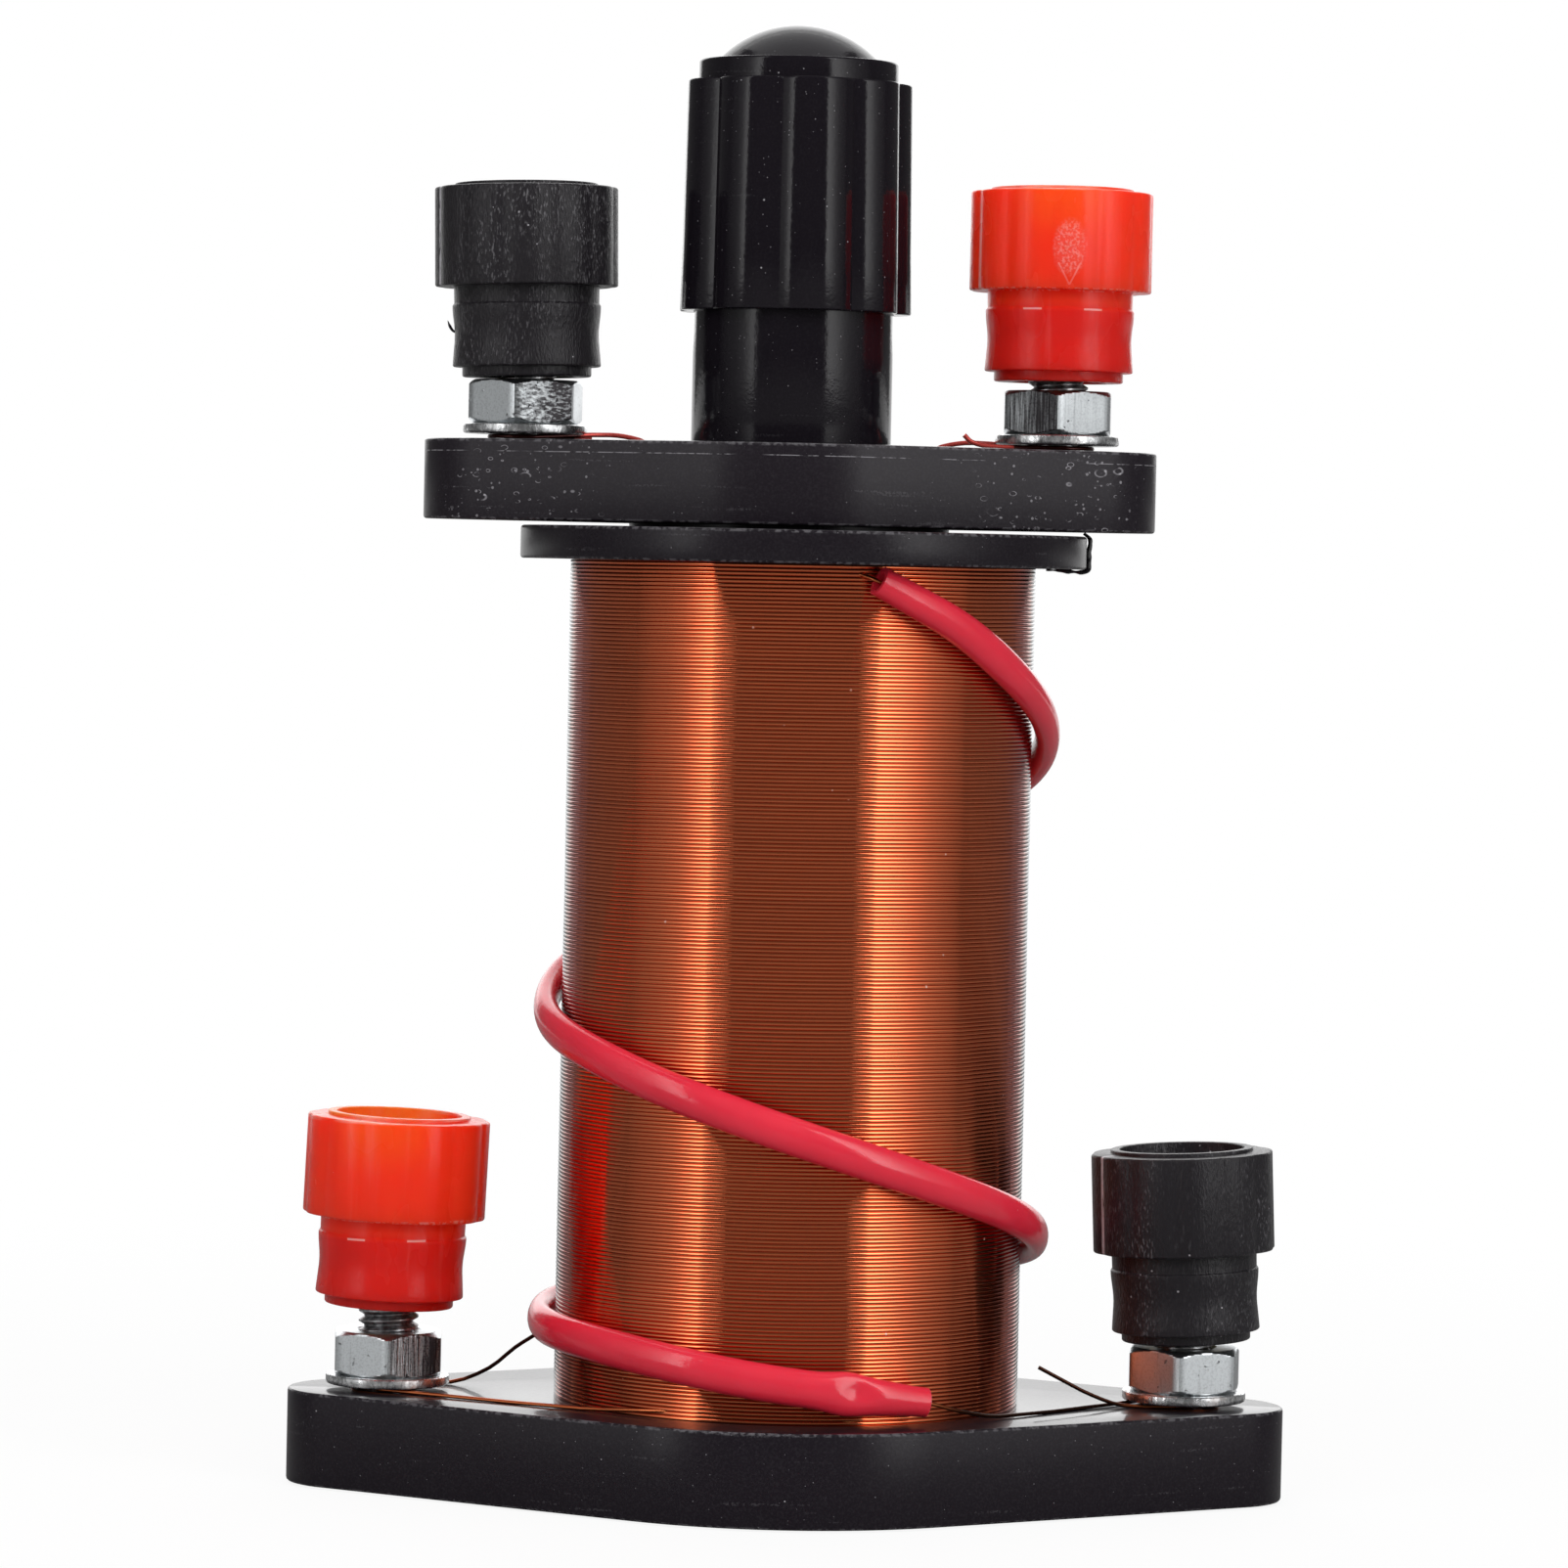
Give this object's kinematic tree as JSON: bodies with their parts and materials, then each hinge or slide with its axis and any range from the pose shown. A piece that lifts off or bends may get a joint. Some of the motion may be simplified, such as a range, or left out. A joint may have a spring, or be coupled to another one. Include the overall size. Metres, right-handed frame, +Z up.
{
  "type": "primary and secondary coil",
  "caption": "Classroom induction set: a wound secondary coil on a lozenge base, a lift-out primary coil with its own plate, a knobbed iron core and screw-cap binding posts.",
  "frame": {"origin": "middle of the underside of the base", "axes": "+X towards the right binding post as seen from the front, +Y away from the front, +Z up along the coil axis"},
  "size_m": [0.1, 0.058, 0.1467],
  "materials": {
    "black_plastic": "semi-gloss black moulding",
    "black_cap": "dull black moulding with scuffs",
    "red_cap": "translucent orange-red moulding",
    "copper_wire": "brown enamelled copper wire",
    "red_wire": "reddish enamelled copper wire",
    "red_sleeve": "glossy crimson soft plastic tube",
    "zinc_steel": "bright zinc plate",
    "bolt_steel": "plain steel thread",
    "brass": "turned brass",
    "soft_iron": "drawn soft iron"
  },
  "bodies": {
    "secondary_coil": {"base_plate": "black_plastic", "secondary_bobbin": "black_plastic", "secondary_layers": "copper_wire", "secondary_winding": "copper_wire", "lead_sleeve": "red_sleeve", "start_lead": "copper_wire", "finish_lead": "copper_wire", "base_bolts": "bolt_steel", "base_washers": "zinc_steel", "base_nuts": "zinc_steel"},
    "primary_coil": {"primary_plate": "black_plastic", "primary_bobbin": "black_plastic", "primary_winding": "red_wire", "primary_leads": "red_wire", "plate_bolts": "bolt_steel", "plate_washers": "zinc_steel", "plate_nuts": "zinc_steel"},
    "core": {"iron_core": "soft_iron", "core_neck": "black_plastic", "core_knob": "black_plastic", "knob_screw": "bolt_steel", "knob_dome": "black_plastic"},
    "base_left_thread": {"base_left_insert": "brass"},
    "base_left_screw_cap": {"base_left_cap": "red_cap"},
    "base_right_thread": {"base_right_insert": "brass"},
    "base_right_screw_cap": {"base_right_cap": "black_cap"},
    "plate_left_thread": {"plate_left_insert": "brass"},
    "plate_left_screw_cap": {"plate_left_cap": "black_cap"},
    "plate_right_thread": {"plate_right_insert": "brass"},
    "plate_right_screw_cap": {"plate_right_cap": "red_cap"}
  },
  "joints": [
    {"name": "primary_lift", "type": "slide", "parent": "secondary_coil", "child": "primary_coil", "axis": [0, 0, 1], "range_m": [0, 0.092]},
    {"name": "core_lift", "type": "slide", "parent": "primary_coil", "child": "core", "axis": [0, 0, 1], "range_m": [0, 0.098]},
    {"name": "base_left_travel", "type": "slide", "parent": "secondary_coil", "child": "base_left_thread", "axis": [0.0384, 0, 0.9993], "range_m": [-0.00201, 0.00426]},
    {"name": "base_left_turn", "type": "hinge", "parent": "base_left_thread", "child": "base_left_screw_cap", "pos_m": [-0.04, 0, 0.0188], "axis": [0.0384, 0, 0.9993], "range_deg": [-720, 1530]},
    {"name": "base_right_travel", "type": "slide", "parent": "secondary_coil", "child": "base_right_thread", "axis": [-0.0314, 0, 0.9995], "range_m": [-0.00026, 0.00601]},
    {"name": "base_right_turn", "type": "hinge", "parent": "base_right_thread", "child": "base_right_screw_cap", "pos_m": [0.04, 0, 0.0188], "axis": [-0.0314, 0, 0.9995], "range_deg": [-90, 2160]},
    {"name": "plate_left_travel", "type": "slide", "parent": "primary_coil", "child": "plate_left_thread", "axis": [-0.0209, 0, 0.9998], "range_m": [-0.00001, 0.00651]},
    {"name": "plate_left_turn", "type": "hinge", "parent": "plate_left_thread", "child": "plate_left_screw_cap", "pos_m": [-0.0281, 0, 0.11425], "axis": [-0.0209, 0, 0.9998], "range_deg": [0, 2340]},
    {"name": "plate_right_travel", "type": "slide", "parent": "primary_coil", "child": "plate_right_thread", "axis": [0, 0, 1], "range_m": [-0.00076, 0.00601]},
    {"name": "plate_right_turn", "type": "hinge", "parent": "plate_right_thread", "child": "plate_right_screw_cap", "pos_m": [0.0251, 0, 0.11425], "axis": [0, 0, 1], "range_deg": [-270, 2160]}
  ],
  "couplings": [
    {"joint": "base_left_travel", "follows": "base_left_turn", "m_per_rad": 0.00015915},
    {"joint": "base_right_travel", "follows": "base_right_turn", "m_per_rad": 0.00015915},
    {"joint": "plate_left_travel", "follows": "plate_left_turn", "m_per_rad": 0.00015915},
    {"joint": "plate_right_travel", "follows": "plate_right_turn", "m_per_rad": 0.00015915}
  ]
}
